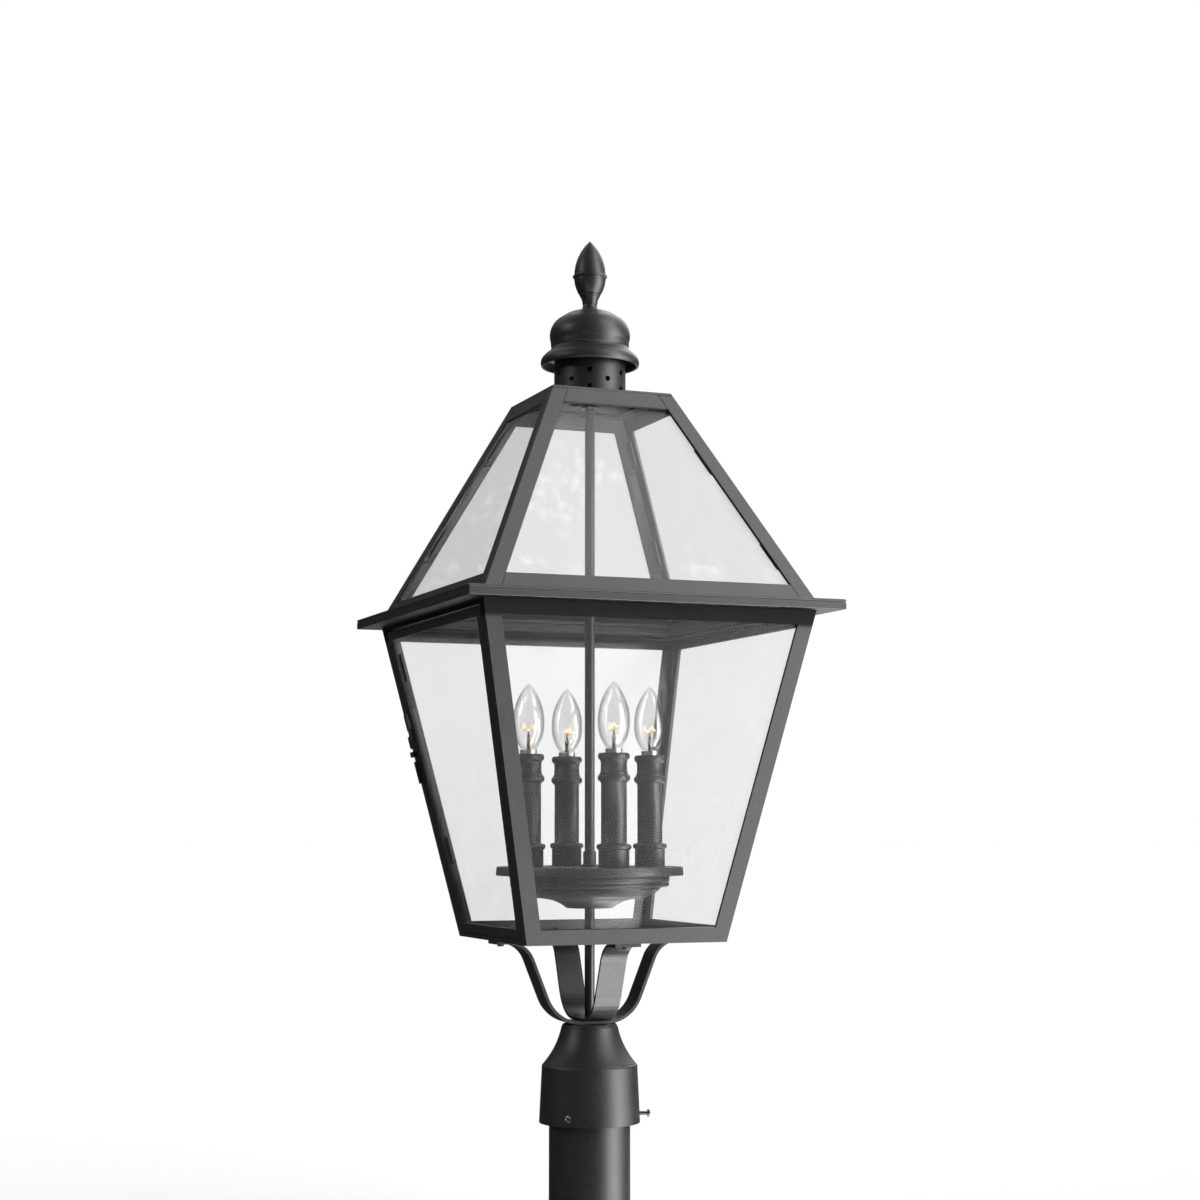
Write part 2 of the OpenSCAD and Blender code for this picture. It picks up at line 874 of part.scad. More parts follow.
// Columns of two holes alternate with single holes
module vent_collar() {
    first = -90 - 21.5;
    color(black_cast)
        difference() {
            tube(collar_r, collar_r - collar_wall, collar_z, collar_h);
            for (i = [0:vent_columns - 1])
                rotate([0, 0, first + i * 360 / vent_columns])
                    for (row = i % 2 == 0 ? [-1, 1] : [0])
                        translate([collar_r - collar_wall - overlap, 0,
                                   collar_z + vent_mid_h + row * vent_row_step])
                            rotate([0, 90, 0])
                                cylinder(r = vent_hole_r, h = collar_wall + 2 * overlap, $fn = 24);
        }
}

// Hollow dome that rests on the collar by a ledge inside its waist
module vent_cap() {
    lip = -15.4;
    seat_r = collar_r + touch;
    crown_z = dome_h - finial_sink;
    inside = concat([[stem_hole_r, crown_z - cap_wall]],
                    arc([12, crown_z - cap_wall], [dome_r - 12.5, 30.7], 1, 6),
                    arc([dome_r - 11.5, 29.5], [dome_r - cap_wall, 9], 3.4, 8),
                    [[dome_r - cap_wall, cap_wall], [collar_r - cap_ledge, cap_wall],
                     [collar_r - cap_ledge, 0], [seat_r, 0], [seat_r + 1.2, -3],
                     [cap_r - 6.2, -8], [cap_r - 3.2, lip]]);
    flange = arc([cap_r - 1.1, lip], [cap_r - 2.7, -5.9], -1.6, 6);
    waist = arc([cap_r - 5.5, -3], [dome_r - 1.2, 3], 0.9, 4);
    dome = concat([[dome_r - 0.6, 4.2]],
                  arc([dome_r - 0.3, 9], [dome_r - 10, 32.7], -4.6, 12),
                  arc([dome_r - 14.5, 35.7], [9.6, crown_z], -1, 6));
    color(black_cast)
        translate([0, 0, cap_ceiling_z])
            rotate_extrude()
                polygon(concat(inside, flange, waist, dome, [[stem_hole_r, crown_z]]));
}

module finial() {
    neck_z = 7.3;
    cup_z = 17;
    ring_z = finial_h - 35.7;
    bore_h = stem_in_finial + finial_sink + 0.4;
    outline = concat(
        [[stem_r + nut_gap, 0]],
        arc([12, 0], [6.9, neck_z - 1], 1.6, 5),
        arc([7.3, neck_z], [10.2, cup_z - 1.4], 0.7, 4),
        [[10.2, cup_z]],
        arc([10.9, cup_z], [finial_r - 0.4, ring_z - 1.4], -1, 6),
        arc([finial_r + 0.3, ring_z - 1.2], [finial_r + 0.3, ring_z + 1.2], -0.7, 4),
        arc([finial_r - 0.6, ring_z + 1.5], [0, finial_h], -3.9, 14),
        [[0, bore_h], [stem_r + nut_gap, bore_h]]);
    color(black_cast)
        translate([0, 0, dome_top_z - finial_sink])
            rotate_extrude()
                polygon(outline);
}

// ---- Light cluster ----

module candle_places() {
    for (turn = [0:90:270])
        rotate([0, 0, turn])
            translate([candle_ring_r, 0, 0])
                children();
}

module cluster_plate() {
    color(black_cast)
        difference() {
            translate([0, 0, plate_z])
                rotate_extrude()
                    polygon(concat(
                        [[stem_hole_r, -spun_t], [plate_r - spun_t, -spun_t],
                         [plate_r - spun_t, -plate_rim_h], [plate_r - 0.4, -plate_rim_h]],
                        arc([plate_r, -plate_rim_h + 0.6], [plate_r - 1, 0], -0.3, 4),
                        [[stem_hole_r, 0]]));
            candle_places()
                translate([0, 0, plate_z - spun_t - overlap])
                    cylinder(r = nipple_r + touch, h = spun_t + 2 * overlap);
        }
}

// Spun step with a beaded edge, carried under the plate
module cluster_step() {
    top = plate_z - spun_t - step_z;
    color(black_cast)
        translate([0, 0, step_z])
            rotate_extrude()
                polygon(concat(
                    [[bowl_r - 12, 0], [step_r - 2, 0]],
                    arc([step_r - 1.4, 0.2], [step_r - 0.4, 3.4], -0.8, 5),
                    arc([step_r - 0.6, 4], [step_r, step_h - 0.4], -0.6, 5),
                    [[step_r - 0.2, top], [step_r - 3, top], [step_r - 3, spun_t],
                     [bowl_r - 12, spun_t]]));
}

module cluster_bowl() {
    color(black_cast)
        translate([0, 0, bowl_z])
            rotate_extrude()
                polygon(concat(
                    [[stem_hole_r, 0]],
                    arc([bowl_foot_r, 0], [bowl_r * 0.62, bowl_h * 0.42], 1.6, 6),
                    arc([bowl_r * 0.64, bowl_h * 0.47], [bowl_r, bowl_h * 0.9], -3, 8),
                    [[bowl_r, bowl_h], [bowl_r - 3.4, bowl_h]],
                    arc([bowl_r - 4, bowl_h * 0.88], [bowl_r * 0.6, bowl_h * 0.47 + 2.6], 2.4, 6),
                    [[bowl_foot_r, spun_t], [stem_hole_r, spun_t]]));
}

module candle_sleeve() {
    bead = 1.8;
    low_bead_z = 18.9;
    high_bead_z = candle_h - 22.8;
    foot_r = candle_r + 1.7;
    low_bead_r = candle_r + 3.5;
    high_bead_r = candle_r + 3;
    lip_r = candle_r + 2.8;
    bore_r = candle_r - 1.4;
    color(black_cast)
        translate([0, 0, plate_z])
            rotate_extrude()
                polygon(concat(
                    [[bore_r, 0], [foot_r, 0], [foot_r, low_bead_z - bead]],
                    arc([low_bead_r - 1, low_bead_z - bead], [low_bead_r - 1, low_bead_z + bead],
                        -1, 6),
                    [[candle_r, low_bead_z + bead], [candle_r, high_bead_z - bead]],
                    arc([high_bead_r - 1, high_bead_z - bead], [high_bead_r - 1, high_bead_z + bead],
                        -1, 6),
                    [[candle_r + 0.4, high_bead_z + bead]],
                    arc([candle_r + 0.2, candle_h - 9], [lip_r - 0.6, candle_h - 4.4], 0.6, 5),
                    arc([lip_r, candle_h - 3.6], [lip_r - 1.8, candle_h], -1, 5),
                    [[socket_r + base_fit, candle_h], [socket_r + base_fit, candle_h - spun_t],
                     [bore_r, candle_h - spun_t - 1]]));
}

module candle(number) {
    rotate([0, 0, 90 * (number - 1)])
        translate([candle_ring_r, 0, 0])
            children();
}

module candle_sleeve_1() {
    candle(1)
        candle_sleeve();
}

module candle_sleeve_2() {
    candle(2)
        candle_sleeve();
}

module candle_sleeve_3() {
    candle(3)
        candle_sleeve();
}

module candle_sleeve_4() {
    candle(4)
        candle_sleeve();
}

// Screw socket on a threaded nipple that a nut holds under the plate
module candle_sockets() {
    lock_nut_h = 4;
    washer_h = 2;
    flat_r = nipple_r + 3.4;
    low = plate_z - spun_t - lock_nut_h - 1;
    color(brass)
        candle_places()
            difference() {
                union() {
                    translate([0, 0, socket_top_z - socket_l])
                        cylinder(r = socket_r, h = socket_l);
                    translate([0, 0, low])
                        cylinder(r = nipple_r, h = socket_top_z - socket_l + overlap - low);
                    translate([0, 0, plate_z - spun_t - lock_nut_h])
                        cylinder(r = flat_r, h = lock_nut_h, $fn = 6);
                    translate([0, 0, plate_z])
                        cylinder(r = flat_r, h = washer_h);
                }
                translate([0, 0, low - overlap])
                    cylinder(r = nipple_bore_r, h = socket_top_z - low);
                translate([0, 0, socket_top_z - base_l - 1])
                    cylinder(r = base_r + base_fit, h = base_l + 1 + overlap);
            }
}

// Lead from each socket down its nipple and in towards the wire nuts
module socket_wires() {
    low = step_z + spun_t + wire_h;
    color(wire_white)
        candle_places()
            union() {
                translate([0, 0, low])
                    cylinder(r = wire_r, h = socket_top_z - base_l - 2 - low, $fn = 24);
                translate([0, 0, low])
                    sphere(r = wire_r * 1.1, $fn = 24);
                translate([wire_end_at - candle_ring_r, 0, low])
                    rotate([0, 90, 0])
                        cylinder(r = wire_r, h = candle_ring_r - wire_end_at, $fn = 24);
            }
}

module wire_nuts() {
    low = step_z + spun_t + wire_h;
    color(wire_white)
        for (turn = [0:90:270])
            rotate([0, 0, turn])
                translate([wire_end_at - touch, 0, low])
                    rotate([0, -90, 0])
                        cylinder(r1 = 4.4, r2 = 2.6, h = 14);
}

// ---- Bulbs ----

module bulb_base() {
    color(brass)
        translate([0, 0, socket_top_z - base_l])
            rotate_extrude()
                polygon([[0, 0], [2.4, 0], [3.2, 1.6], [base_r, 3.4], [base_r, base_l - 0.6],
                         [base_r - 1, base_l - 0.6], [base_r - 1, 5], [0, 5]]);
}

// Torpedo envelope, open at the neck that the base closes
module bulb_glass() {
    neck_r = base_r - 1 - touch;
    neck_l = 8;
    throat_r = neck_r + 2.6;
    belly_z = bulb_h * 0.37;
    tip_r = 1;
    outer = concat([[neck_r, -neck_l], [neck_r, 0.2], [throat_r, 1]],
                   arc([throat_r + 0.2, 1.6], [bulb_r, belly_z], -1.9, 8),
                   arc([bulb_r, belly_z + 0.5], [tip_r, bulb_h], -4, 14),
                   [[0, bulb_h]]);
    inner = concat([[0, bulb_h - 1.4 * glass_wall]],
                   arc([tip_r, bulb_h - 2 * glass_wall], [bulb_r - glass_wall, belly_z + 0.5], 3.9, 12),
                   arc([bulb_r - glass_wall, belly_z], [throat_r - glass_wall, 1.8], 1.8, 6),
                   [[neck_r - glass_wall, 1.2], [neck_r - glass_wall, -neck_l]]);
    color(pane_tint)
        translate([0, 0, socket_top_z])
            rotate_extrude()
                polygon(concat(outer, inner));
}

module bulb_glass_1() {
    candle(1)
        bulb_glass();
}

module bulb_glass_2() {
    candle(2)
        bulb_glass();
}

module bulb_glass_3() {
    candle(3)
        bulb_glass();
}

module bulb_glass_4() {
    candle(4)
        bulb_glass();
}

module bulb_base_1() {
    candle(1)
        bulb_base();
}

module bulb_base_2() {
    candle(2)
        bulb_base();
}

module bulb_base_3() {
    candle(3)
        bulb_base();
}

module bulb_base_4() {
    candle(4)
        bulb_base();
}

// ---- Door ----

// Pins held in the sill and header, standing up and down into the hinge stile
module door_pins() {
    short = 0.4;
    color(steel) {
        on_hinge(door_z0 - door_gap - pin_in_bar)
            cylinder(r = pin_r, h = pin_in_bar + door_gap + pin_in_door - short);
        on_hinge(door_z1 - pin_in_door + short)
            cylinder(r = pin_r, h = pin_in_bar + door_top_gap + pin_in_door - 2 * short);
    }
}

// Outline of a door stile of one width between two heights
function stile_outline(w) =
    [[door_edge(door_z0) - w, door_z0], [door_edge(door_z0), door_z0],
     [door_edge(door_z1), door_z1], [door_edge(door_z1) - w, door_z1]];

module door_stile() {
    on_body(LEFT) {
        face_piece(stile_outline(door_stile_w), 0, door_front_t);
        face_piece(stile_outline(door_back_w), door_front_t - touch, door_front_t + touch);
    }
}

// Hinge stile and latch stile, each rebated for the pane
module door_stiles() {
    color(black_iron) {
        difference() {
            door_stile();
            hinge_bores(pin_r + pin_fit);
        }
        on_body(LEFT)
            mirror([1, 0, 0]) {
                face_piece(stile_outline(door_stile_w), 0, door_front_t);
                face_piece(stile_outline(door_back_w), door_front_t - touch, door_front_t + touch);
            }
    }
}

function rail_outline(z0, z1, w) =
    [[w - door_edge(z0), z0], [door_edge(z0) - w, z0],
     [door_edge(z1) - w, z1], [w - door_edge(z1), z1]];

module door_rails() {
    color(black_iron)
        on_body(LEFT) {
            union() {
                face_piece(rail_outline(door_z0, door_z0 + door_rail_h, door_stile_w),
                           0, door_front_t);
                face_piece(rail_outline(door_z0, door_z0 + door_back_rail_h, door_stile_w),
                           door_front_t - touch, door_front_t + touch);
            }
            union() {
                face_piece(rail_outline(door_z1 - door_rail_h, door_z1, door_stile_w),
                           0, door_front_t);
                face_piece(rail_outline(door_z1 - door_back_rail_h, door_z1, door_stile_w),
                           door_front_t - touch, door_front_t + touch);
            }
        }
}

module door_glass() {
    low = door_z0 + door_back_rail_h + glass_fit;
    high = door_z1 - door_back_rail_h - glass_fit;
    inset = door_back_w + glass_fit;
    color(pane_tint)
        on_body(LEFT)
            face_piece(rail_outline(low, high, inset), door_front_t + touch / 2,
                       door_front_t - touch);
}

module door_glass_clips() {
    lows = [0.14, 0.73];
    slope = sin(body_tilt);
    color(black_iron)
        on_body(LEFT)
            for (share = lows)
                for (hand = [0, 1])
                    mirror([hand, 0, 0]) {
                        z = share * body_len + clip_l;
                        clip(z, door_t, door_edge(z) - 2, slope);
                    }
}

// ---- Latch ----

// Frame along the latch stile: x from the door's edge inwards, y into the door, z up the stile
module on_latch() {
    on_body(LEFT)
        mirror([1, 0, 0])
            translate([door_edge(latch_h), 0, latch_h])
                rotate([0, stile_lean, 0])
                    mirror([1, 0, 0])
                        children();
}

module rivet_head(x, z, base) {
    translate([x, base, z])
        rotate([90, 0, 0])
            cylinder(r = rivet_r, h = rivet_h, $fn = 24);
}

// Leaf on the door stile with a bridge that the bolt slides in
module latch_guide() {
    tunnel_x = bar_x - bolt_fit;
    tunnel_w = bar_w + 2 * bolt_fit;
    outer_h = bar_out + bar_t + bolt_fit + guide_wall / 2;
    color(black_cast)
        on_latch()
            difference() {
                union() {
                    translate([0.4, -leaf_t, -1])
                        cube([8, leaf_t, guide_z + guide_h + 1]);
                    translate([tunnel_x - guide_wall, -outer_h, guide_z])
                        cube([tunnel_w + 2 * guide_wall, outer_h, guide_h]);
                    rivet_head(6.9, 9.4, -leaf_t + touch);
                    rivet_head(4.4, 1.9, -leaf_t + touch);
                }
                translate([tunnel_x, -bar_out - bar_t - bolt_fit, guide_z - overlap])
                    cube([tunnel_w, bar_t + 2 * bolt_fit, guide_h + 2 * overlap]);
            }
}

// Flat bar with an arm over the gap and a turned-down tip above the eye
module latch_bolt() {
    arm_l = bar_x + bar_w - eye_x + tip_r;
    color(black_cast)
        on_latch()
            union() {
                translate([bar_x, -bar_out - bar_t, arm_z])
                    cube([bar_w, bar_t, bolt_top_z - arm_z]);
                translate([eye_x - tip_r, -bar_out - bar_t, arm_z])
                    cube([arm_l, bar_t, arm_h]);
                translate([eye_x, bolt_y, 3.4])
                    cylinder(r = tip_r, h = arm_z + 1 - 3.4, $fn = 24);
            }
}

// Leaf on the body's stile with the eye that takes the bolt's tip
module latch_keeper() {
    leaf_l = 54;
    leaf_w = 6;
    rib_l = 22;
    rib_w = 3.6;
    rib_t = 3.2;
    color(black_cast)
        on_latch()
            difference() {
                union() {
                    translate([eye_x - leaf_w / 2, -leaf_t, -leaf_l])
                        cube([leaf_w, leaf_t, leaf_l]);
                    translate([eye_x, bolt_y, -eye_h])
                        cylinder(r = eye_r, h = eye_h, $fn = 32);
                    translate([eye_x - rib_w / 2, -rib_t - leaf_t, -eye_h - bolt_travel - rib_l + 4])
                        cube([rib_w, rib_t + overlap / 2, rib_l]);
                    rivet_head(eye_x, -leaf_l + 6, -leaf_t + touch);
                }
                translate([eye_x, bolt_y, -eye_h - overlap])
                    cylinder(r = tip_r + bolt_fit, h = eye_h + 2 * overlap, $fn = 24);
            }
}

// ---- Drawing ----

post_top();
fitter();
set_screw_front();
set_screw_rear();
retaining_screw();
strap_x();
strap_y();
strap_fasteners();
stem_rod();
stem_nuts();
rod_coupling();
bottom_rails();
door_surround();
corner_stiles();
top_rails();
glass_front();
glass_right();
glass_back();
body_glass_clips();
eave_frame();
eave_cover();
roof_base_rails();
roof_hips();
roof_top_rails();
roof_glass_front();
roof_glass_right();
roof_glass_back();
roof_glass_left();
roof_glass_clips();
roof_plate();
vent_collar();
vent_cap();
finial();
cluster_plate();
cluster_step();
cluster_bowl();
candle_sleeve_1();
candle_sleeve_2();
candle_sleeve_3();
candle_sleeve_4();
candle_sockets();
socket_wires();
wire_nuts();
bulb_glass_1();
bulb_glass_2();
bulb_glass_3();
bulb_glass_4();
bulb_base_1();
bulb_base_2();
bulb_base_3();
bulb_base_4();
door_pins();
door_stiles();
door_rails();
door_glass();
door_glass_clips();
latch_guide();
latch_bolt();
latch_keeper();
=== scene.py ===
"""Looks for a four-light post-top lantern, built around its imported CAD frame.

Row frame in metres: origin at the centre of the post's lower end, +Z up. The wide front face
looks along -Y and the door is the -X face.
"""

import json
import math

import bmesh
import bpy
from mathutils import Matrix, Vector


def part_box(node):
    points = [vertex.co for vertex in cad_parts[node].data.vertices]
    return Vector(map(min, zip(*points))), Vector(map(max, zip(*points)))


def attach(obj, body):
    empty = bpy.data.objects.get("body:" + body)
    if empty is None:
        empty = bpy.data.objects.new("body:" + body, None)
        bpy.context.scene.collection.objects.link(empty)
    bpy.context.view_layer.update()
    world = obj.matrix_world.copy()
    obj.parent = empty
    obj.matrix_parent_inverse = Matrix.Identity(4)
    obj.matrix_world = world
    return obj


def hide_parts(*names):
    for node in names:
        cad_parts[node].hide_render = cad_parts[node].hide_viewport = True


MM = 0.001  # one millimetre, in the frame's metres

# Camera, placed about the post's axis: places in metres, lens and sensor in millimetres
CAMERA_TURN = math.radians(21.47)
CAMERA_PITCH = math.radians(5.93)
CAMERA_DISTANCE = 2.0758
CAMERA_SIDE = 0.00982
CAMERA_HEIGHT = 0.3863
CAMERA_LENS = 65.12
CAMERA_SENSOR = 36.0

# Light that surfaces reflect: a dim room, and soft panels that are each given by their turn
# right of the camera, height angle, brightness and half width, with the angles in degrees
AMBIENT = 0.045
SOFTBOXES = {
    "right_top": (74, 48, 5.0, 17),
    "right_high": (62, 22, 5.2, 19),
    "right_middle": (74, 4, 4.2, 16),
    "right_low": (66, -10, 8.0, 17),
    "right_side": (88, -14, 5.0, 18),
    "right_floor": (68, -46, 12.0, 21),
    "left_high": (-68, 26, 7.5, 10),
    "front_floor": (20, -62, 1.8, 28),
    "back_high": (158, 42, 3.0, 26),
    "back_low": (156, -36, 4.0, 22),
    "front_low": (-24, -36, 1.6, 14),
    "back_left_high": (-130, 50, 0.8, 22),
}
PANEL_CORE = 0.45  # share of a panel's half width that has its full brightness
PANEL_FADE = 1.35  # share of it where the panel has faded out

# Floor: its own glow makes up what the panels don't light, to the white of the room
FLOOR_GLOW = 0.708
FLOOR_TONES = (0.24, 0.26)
FLOOR_HALF_WIDTH = 40.0

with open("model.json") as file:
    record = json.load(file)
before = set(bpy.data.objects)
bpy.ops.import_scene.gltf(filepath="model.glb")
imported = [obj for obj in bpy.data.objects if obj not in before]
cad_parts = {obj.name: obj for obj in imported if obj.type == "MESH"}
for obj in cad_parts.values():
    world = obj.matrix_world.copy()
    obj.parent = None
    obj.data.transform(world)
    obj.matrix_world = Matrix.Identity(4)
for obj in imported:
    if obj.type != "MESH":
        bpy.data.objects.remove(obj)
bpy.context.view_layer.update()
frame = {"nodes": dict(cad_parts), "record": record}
nodes = frame["nodes"]


# ---- Node and mesh helpers ----

def new_material(name):
    """An empty node material and its tree."""
    made = bpy.data.materials.new(name)
    made.use_nodes = True
    made.node_tree.nodes.clear()
    return made, made.node_tree


def add(tree, kind, sockets=None, **settings):
    """A shader node with its settings, and its inputs set to numbers or linked to sockets."""
    made = tree.nodes.new("ShaderNode" + kind)
    for key, value in settings.items():
        setattr(made, key, value)
    for key, value in (sockets or {}).items():
        if isinstance(value, bpy.types.NodeSocket):
            tree.links.new(value, made.inputs[key])
        else:
            made.inputs[key].default_value = value
    return made


def grey(value):
    return (value, value, value, 1.0)


def noise(tree, place, size, detail, roughness):
    """Noise whose features are about that size in metres."""
    made = add(tree, "TexNoise", {"Vector": place, "Scale": 1.0 / size,
                                  "Detail": detail, "Roughness": roughness})
    return made.outputs["Fac"]


def spread(tree, value, low, high, to_low, to_high):
    """The value, from between low and high to between to_low and to_high."""
    made = add(tree, "MapRange", {"Value": value, "From Min": low, "From Max": high,
                                  "To Min": to_low, "To Max": to_high})
    return made.outputs["Result"]


def blend_colour(tree, factor, first, second):
    """The first colour at factor 0 and the second at 1."""
    made = add(tree, "Mix", data_type="RGBA")
    factor_in = made.inputs[0]
    first_in = made.inputs[6]
    second_in = made.inputs[7]
    for socket, value in ((factor_in, factor), (first_in, first), (second_in, second)):
        if isinstance(value, bpy.types.NodeSocket):
            tree.links.new(value, socket)
        else:
            socket.default_value = value
    colour_out = made.outputs[2]
    return colour_out


def finish_material(tree, shader):
    """Links the shader to the material's surface."""
    tree.links.new(shader, add(tree, "OutputMaterial").inputs["Surface"])


# ---- Materials ----

def powder_coat(tree, place, tone, grain, relief, rough, mottle, shine):
    """Sandy grain, slow mottling of tone and gloss, and pale dust specks.

    tone is the coat's mean grey, grain and mottle the sizes of the grain and the mottling,
    relief the grain's depth, rough its mean roughness and shine its specular level.
    """
    dark = grey(0.8 * tone)
    pale = grey(1.2 * tone)
    grain_tone = grey(2.2 * tone)
    speck_tone = grey(3.6 * tone)
    sand = noise(tree, place, grain, detail=2.0, roughness=0.6)
    slow = noise(tree, place, mottle, detail=4.0, roughness=0.6)
    specks = noise(tree, place, 1.7 * grain, detail=1.0, roughness=0.4)
    base = blend_colour(tree, spread(tree, slow, 0.3, 0.7, 0.0, 1.0), dark, pale)
    sandy = blend_colour(tree, spread(tree, sand, 0.35, 0.7, 0.0, 0.7), base, grain_tone)
    speckled = blend_colour(tree, spread(tree, specks, 0.66, 0.78, 0.0, 0.7), sandy, speck_tone)
    worn = spread(tree, slow, 0.3, 0.7, rough - 0.03, rough + 0.03)
    gloss = add(tree, "Math", {0: worn, 1: spread(tree, sand, 0.3, 0.7, -0.05, 0.06)},
                operation="ADD").outputs[0]
    bump = add(tree, "Bump", {"Height": sand, "Distance": relief, "Strength": 0.5})
    return add(tree, "BsdfPrincipled", {
        "Base Color": speckled, "Roughness": gloss, "Normal": bump.outputs["Normal"],
        "IOR": 1.5, "Specular IOR Level": shine}).outputs["BSDF"]


def coated_metal(name, tone, grain, relief, rough, mottle=30 * MM):
    """Black powder coat."""
    made, tree = new_material(name)
    place = add(tree, "TexCoord").outputs["Object"]
    finish_material(tree, powder_coat(tree, place, tone, grain, relief, rough, mottle, shine=0.5))
    return made


def eave_shaded_metal(name, tone, grain, relief, rough, height, mottle=30 * MM):
    """The same coat, darker and duller above a height: painted shade under the eave."""
    made, tree = new_material(name)
    place = add(tree, "TexCoord").outputs["Object"]
    level = add(tree, "SeparateXYZ", {"Vector": place}).outputs["Z"]
    shade = spread(tree, level, height - 2 * MM, height + 2 * MM, 0.0, 1.0)
    lit_coat = powder_coat(tree, place, tone, grain, relief, rough, mottle, shine=0.5)
    # Painted shade: a darker, duller copy of the coat where the eave's shadow falls
    shaded_coat = powder_coat(tree, place, 0.4 * tone, grain, relief, 0.6, mottle, shine=0.1)
    finish_material(tree, add(tree, "MixShader", {0: shade, 1: lit_coat, 2: shaded_coat}).outputs[0])
    return made


def window_glass(name, clear, mirror_share, haze):
    """A clear flat pane with a soft mirror, a thin uneven film, and clearer wipe marks.

    clear is how much light the pane lets through, mirror_share what it mirrors seen straight
    on, and haze the share of its dusty film.
    """
    made, tree = new_material(name)
    place = add(tree, "TexCoord").outputs["Object"]
    cloud = noise(tree, place, 110 * MM, detail=3.0, roughness=0.55)
    smear = noise(tree, place, 14 * MM, detail=4.0, roughness=0.6)
    wide = noise(tree, place, 75 * MM, detail=1.0, roughness=0.5)
    close = noise(tree, place, 13 * MM, detail=5.0, roughness=0.7)
    patch = spread(tree, wide, 0.52, 0.62, 0.0, 1.0)
    spot = spread(tree, close, 0.5, 0.68, 0.0, 1.0)
    wiped = add(tree, "Math", {0: patch, 1: spot}, operation="MULTIPLY").outputs[0]
    tint = blend_colour(tree, wiped, grey(clear), grey(1.0))
    through = add(tree, "BsdfTransparent", {"Color": tint})
    dust_tone = grey(0.9)
    behind = add(tree, "BsdfTranslucent", {"Color": dust_tone})
    front = add(tree, "BsdfDiffuse", {"Color": dust_tone})
    dust = add(tree, "MixShader", {0: 0.5, 1: behind.outputs[0], 2: front.outputs[0]})
    share = add(tree, "Math", {0: spread(tree, cloud, 0.35, 0.7, 0.5 * haze, 1.4 * haze),
                               1: spread(tree, smear, 0.3, 0.75, 0.8, 1.2)},
                operation="MULTIPLY").outputs[0]
    dusty = add(tree, "MixShader", {0: share, 1: through.outputs[0], 2: dust.outputs[0]})
    mirror = add(tree, "BsdfGlossy", {"Color": grey(1.0), "Roughness": 0.3})
    facing = add(tree, "LayerWeight", {"Blend": 0.5}).outputs["Facing"]
    edge = add(tree, "Math", {0: facing, 1: 5.0}, operation="POWER").outputs[0]
    mirrored = spread(tree, edge, 0.0, 1.0, mirror_share, mirror_share + 0.3)
    shader = add(tree, "MixShader", {0: mirrored, 1: dusty.outputs[0], 2: mirror.outputs[0]})
    finish_material(tree, shader.outputs[0])
    return made


def blown_glass(name, outline):
    """Thin clear bulb glass with faint ripples in its gloss, and painted shade at its edges; outline
    is its tone at its edges.
    """
    made, tree = new_material(name)
    place = add(tree, "TexCoord").outputs["Object"]
    ripple = noise(tree, place, 8 * MM, detail=2.0, roughness=0.5)
    bump = add(tree, "Bump", {"Height": ripple, "Distance": 0.3 * MM, "Strength": 0.4})
    facing = add(tree, "LayerWeight", {"Blend": 0.5}).outputs["Facing"]
    rim = add(tree, "Math", {0: facing, 1: 2.5}, operation="POWER").outputs[0]
    tint = blend_colour(tree, spread(tree, ripple, 0.3, 0.7, 0.0, 1.0), grey(0.97), grey(0.985))
    # Painted shade: the glass lets less through towards its edges, in place of the dark rims that
    # refraction gives
    body = add(tree, "BsdfTransparent", {"Color": blend_colour(tree, rim, tint, grey(outline))})
    mirror = add(tree, "BsdfGlossy", {"Color": grey(1.0), "Roughness": 0.06,
                                      "Normal": bump.outputs["Normal"]})
    share = spread(tree, rim, 0.0, 1.0, 0.05, 0.35)
    shader = add(tree, "MixShader", {0: share, 1: body.outputs[0], 2: mirror.outputs[0]})
    finish_material(tree, shader.outputs[0])
    return made


def bare_metal(name, colour, rough):
    """Metal with upright drawn streaks and a patchy tarnish."""
    made, tree = new_material(name)
    place = add(tree, "TexCoord").outputs["Object"]
    upright = add(tree, "Mapping", {"Vector": place, "Scale": (1.0, 1.0, 0.12)}).outputs[0]
    drawn = noise(tree, upright, 0.5 * MM, detail=3.0, roughness=0.6)
    patch = noise(tree, place, 6 * MM, detail=4.0, roughness=0.6)
    dull = tuple(0.45 * c for c in colour)
    base = blend_colour(tree, spread(tree, patch, 0.35, 0.7, 0.0, 1.0), (*colour, 1.0), (*dull, 1.0))
    gloss = spread(tree, drawn, 0.3, 0.7, rough - 0.08, rough + 0.12)
    bump = add(tree, "Bump", {"Height": drawn, "Distance": 0.05 * MM, "Strength": 0.4})
    shader = add(tree, "BsdfPrincipled", {
        "Base Color": base, "Metallic": 1.0, "Roughness": gloss, "Normal": bump.outputs["Normal"]})
    finish_material(tree, shader.outputs[0])
    return made


def painted_glint_wire(name, dim, bright):
    """Wire with a weak warm glow that varies along it from dim to bright: painted warm glints."""
    made, tree = new_material(name)
    place = add(tree, "TexCoord").outputs["Object"]
    patch = noise(tree, place, 2.5 * MM, detail=2.0, roughness=0.5)
    # Painted glints: emission that stands in for warm glints on the wire
    painted_glint = spread(tree, patch, 0.35, 0.65, dim, bright)
    base = blend_colour(tree, patch, (0.5, 0.42, 0.33, 1.0), (0.72, 0.6, 0.45, 1.0))
    shader = add(tree, "BsdfPrincipled", {
        "Base Color": base, "Metallic": 1.0, "Roughness": 0.35,
        "Emission Color": (1.0, 0.6, 0.3, 1.0), "Emission Strength": painted_glint})
    finish_material(tree, shader.outputs[0])
    return made


